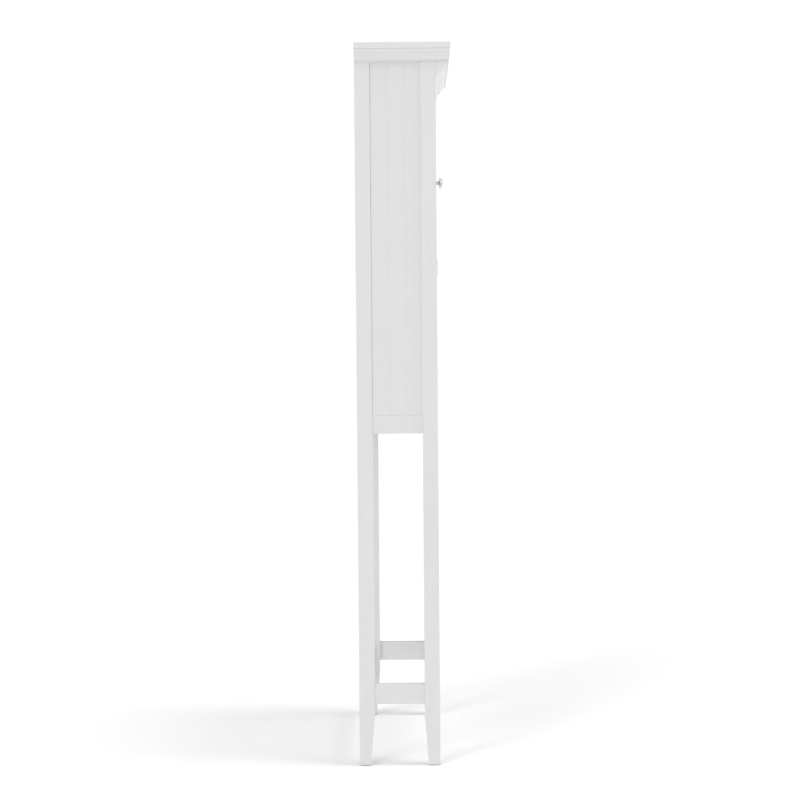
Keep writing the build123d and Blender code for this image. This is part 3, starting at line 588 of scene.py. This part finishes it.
# ---- Knobs and their bolts ----------------------------------------------------------------
# A knob is turned from one bar: a foot that spreads against the door, a waisted neck and a disc
# with a raised rim and a low dome. It is nickel plated and brushed round while it spins, and a
# cross-head bolt holds it from inside the door.
nickel_bright, nickel_brushed = (0.62, 0.61, 0.58, 1), (0.50, 0.49, 0.465, 1)
brush_scale, brush_relief = 2600.0, 0.02 * mm
brush_smooth, brush_rough = 0.24, 0.40
brush_share, brush_mottle = 0.7, 20        # a mottle spans 20 marks


def brushed_round(name, centre):
    """Brushed nickel whose marks run in rings about a knob's axis, which points at the user."""
    finish, shader = new_finish(name, metallic=1.0)
    from_axis = stretched(finish, (-centre.x, 0, -centre.z), (1, 0, 1))
    radius = finish_node(finish, "ShaderNodeVectorMath", {0: from_axis},
                         operation="LENGTH").outputs["Value"]
    ring_place = finish_node(finish, "ShaderNodeCombineXYZ", {"X": radius}).outputs["Vector"]
    marks = grain(finish, ring_place, brush_scale, detail=4.0)
    mottle = grain(finish, stretched(finish, (0, 0, 0), (1, 1, 1)), brush_scale / brush_mottle)
    rounded = eased_normal(finish, metal_edge_reach)
    on_shader(finish, shader,
              base_color=mixed(finish, graded(finish, marks, 0.0, 1.0), nickel_bright, nickel_brushed),
              roughness=graded(finish, shared(finish, marks, brush_share, mottle),
                               brush_smooth, brush_rough),
              normal=relief(finish, marks, brush_relief, rounded))
    return finish


knob_low, knob_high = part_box("door_left_knob")
knob_radius = (knob_high.x - knob_low.x) / 2
knob_reach = knob_high.y - knob_low.y
foot_radius, neck_radius, shoulder_radius = 6.0 * mm, 3.9 * mm, 5.2 * mm
foot_thick, neck_level, shoulder_level = 1.3 * mm, 5.0 * mm, 8.6 * mm
disc_back, disc_rim, bead_width, bead_drop = 9.2 * mm, 12.6 * mm, 1.6 * mm, 0.5 * mm
face_radius = knob_radius - bead_width
face_edge = disc_rim - bead_drop
face_dome = knob_reach - face_edge
knob_ease, knob_facets = 0.12 * mm, 64
face_angles = [math.radians(step) for step in (12, 28, 45, 62, 78)]
knob_outline = [(0, 0), (foot_radius, 0), (foot_radius, foot_thick * 0.7), (foot_radius * 0.9, foot_thick),
                (foot_radius * 0.76, foot_thick * 1.5), (neck_radius, neck_level * 0.8),
                (neck_radius, neck_level), (neck_radius * 1.1, neck_level * 1.35),
                (shoulder_radius, shoulder_level), (knob_radius * 0.72, disc_back - 0.15 * mm),
                (knob_radius * 0.95, disc_back), (knob_radius, disc_back + 0.8 * mm),
                (knob_radius, disc_rim - 0.6 * mm), (knob_radius - bead_width * 0.45, disc_rim),
                (face_radius + 0.2 * mm, disc_rim - 0.1 * mm), (face_radius, face_edge)]
knob_outline += [(face_radius * math.cos(angle), face_edge + face_dome * math.sin(angle))
                 for angle in face_angles]
knob_outline += [(0, knob_reach)]
y_out, y_in = Vector((0, -1, 0)), Vector((0, 1, 0))
knob_bolt_dome, knob_bolt_head, knob_bolt_shank = 0.9 * mm, 4.0 * mm, 2.0 * mm
knob_cross, knob_cross_depth = 2.3 * mm, 1.2 * mm
for side in sides:
    body = f"door_{side}"
    low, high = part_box(f"{body}_knob")
    knob_foot = Vector(((low.x + high.x) / 2, high.y, (low.z + high.z) / 2))
    fit(f"{body}_turned_knob", planted(soften(turned(knob_outline, knob_facets), knob_ease),
                                       [(knob_foot, y_out)]),
        brushed_round(f"brushed_nickel_{side}", knob_foot), body, f"{body}_knob")
    low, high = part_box(f"{body}_knob_bolt")
    bolt_length, inside_face = high.y - low.y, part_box(f"{body}_lock_stile")[1].y
    head_thick = high.y - inside_face
    knob_bolt = fastener("cross", knob_cross, knob_cross_depth, knob_bolt_dome, (
        (knob_bolt_head, 0), (knob_bolt_head, knob_bolt_dome - head_thick),
        (knob_bolt_shank, knob_bolt_dome - head_thick), (knob_bolt_shank, knob_bolt_dome - bolt_length)))
    bolt_spot = Vector(((low.x + high.x) / 2, high.y - knob_bolt_dome, (low.z + high.z) / 2))
    fit(f"{body}_cross_head_knob_bolt", planted(knob_bolt, [(bolt_spot, y_in)]), zinc_steel, body,
        f"{body}_knob_bolt")

# ---- Magnetic catches and strike plates ---------------------------------------------------
# White moulded cases screwed to the fixed shelf behind the doors. In each one's mouth, two steel
# poles stand on a magnet and pull at a small steel plate on the back of the door.
catch_white, catch_shade = (0.80, 0.80, 0.79, 1), (0.74, 0.74, 0.73, 1)
catch_plastic = moulded("catch_plastic", catch_white, catch_shade, 0.35, 0.5)
catch_wall, catch_mouth, catch_round, mouth_draft = 3.0 * mm, 3.0 * mm, 0.8 * mm, 0.05 * mm
pole_thick, pole_round, pole_gap = 1.6 * mm, 0.25 * mm, 0.3 * mm


def rounded_block(shape, low, high, width):
    """Add a block between two corners with all its edges rounded."""
    corners = bmesh.ops.create_cube(shape, size=1.0)["verts"]
    bmesh.ops.scale(shape, verts=corners, vec=high - low)
    bmesh.ops.translate(shape, verts=corners, vec=(high + low) / 2)
    edges = dict.fromkeys(edge for corner in corners for edge in corner.link_edges)
    bmesh.ops.bevel(shape, geom=list(edges), offset=width, offset_type="OFFSET", affect="EDGES",
                    segments=2, profile=0.5, material=-1, clamp_overlap=True)


cases, poles = bmesh.new(), bmesh.new()
for low, high in solids("magnetic_catches"):
    case = bmesh.new()
    rounded_block(case, low, high, catch_round)
    front = min(case.faces, key=lambda face: (face.calc_center_median().y, -face.calc_area()))
    bmesh.ops.inset_region(case, faces=[front], thickness=catch_wall - catch_round, use_even_offset=True)
    bmesh.ops.inset_region(case, faces=[front], thickness=mouth_draft, depth=-catch_mouth,
                           use_even_offset=True)
    case_data = bpy.data.meshes.new("case")
    case.to_mesh(case_data)
    case.free()
    cases.from_mesh(case_data)
    bpy.data.meshes.remove(case_data)
    for level in (low.z + catch_wall, high.z - catch_wall - pole_thick):
        rounded_block(poles, Vector((low.x + catch_wall + pole_gap, low.y, level)),
                      Vector((high.x - catch_wall - pole_gap, low.y + catch_mouth, level + pole_thick)),
                      pole_round)
fit("moulded_catch_cases", cases, catch_plastic, "cabinet", "magnetic_catches")
fit("steel_catch_poles", poles, zinc_steel, "cabinet", "magnetic_catches")
for side in sides:
    wear_finish(f"door_{side}_strike_plate", zinc_steel)

# ---- Wall bracket -------------------------------------------------------------------------
# A zinc plated angle under the top board, with two open holes for screws into the wall and two
# round-head screws up into the board. It keeps the tall cabinet from tipping.
wear_finish("wall_bracket", zinc_steel)
bracket_dome, bracket_cross, bracket_cross_depth = 0.7 * mm, 1.6 * mm, 1.0 * mm
bracket_boxes = solids("wall_bracket_screws")
bracket_head = (bracket_boxes[0][1].x - bracket_boxes[0][0].x) / 2
bracket_screw_length = bracket_boxes[0][1].z - bracket_boxes[0][0].z
bracket_head_thick, bracket_shank, bracket_point = 1.6 * mm, 1.4 * mm, 3.0 * mm
bracket_screw = fastener("cross", bracket_cross, bracket_cross_depth, bracket_dome, (
    (bracket_head, 0), (bracket_head, bracket_dome - bracket_head_thick),
    (bracket_shank, bracket_dome - bracket_head_thick),
    (bracket_shank, bracket_dome - bracket_screw_length + bracket_point),
    (screw_tip, bracket_dome - bracket_screw_length)))
fit("cross_head_bracket_screws",
    planted(bracket_screw, [(Vector(((low.x + high.x) / 2, (low.y + high.y) / 2, low.z + bracket_dome)),
                             z_down) for low, high in bracket_boxes]),
    zinc_steel, "cabinet", "wall_bracket_screws")
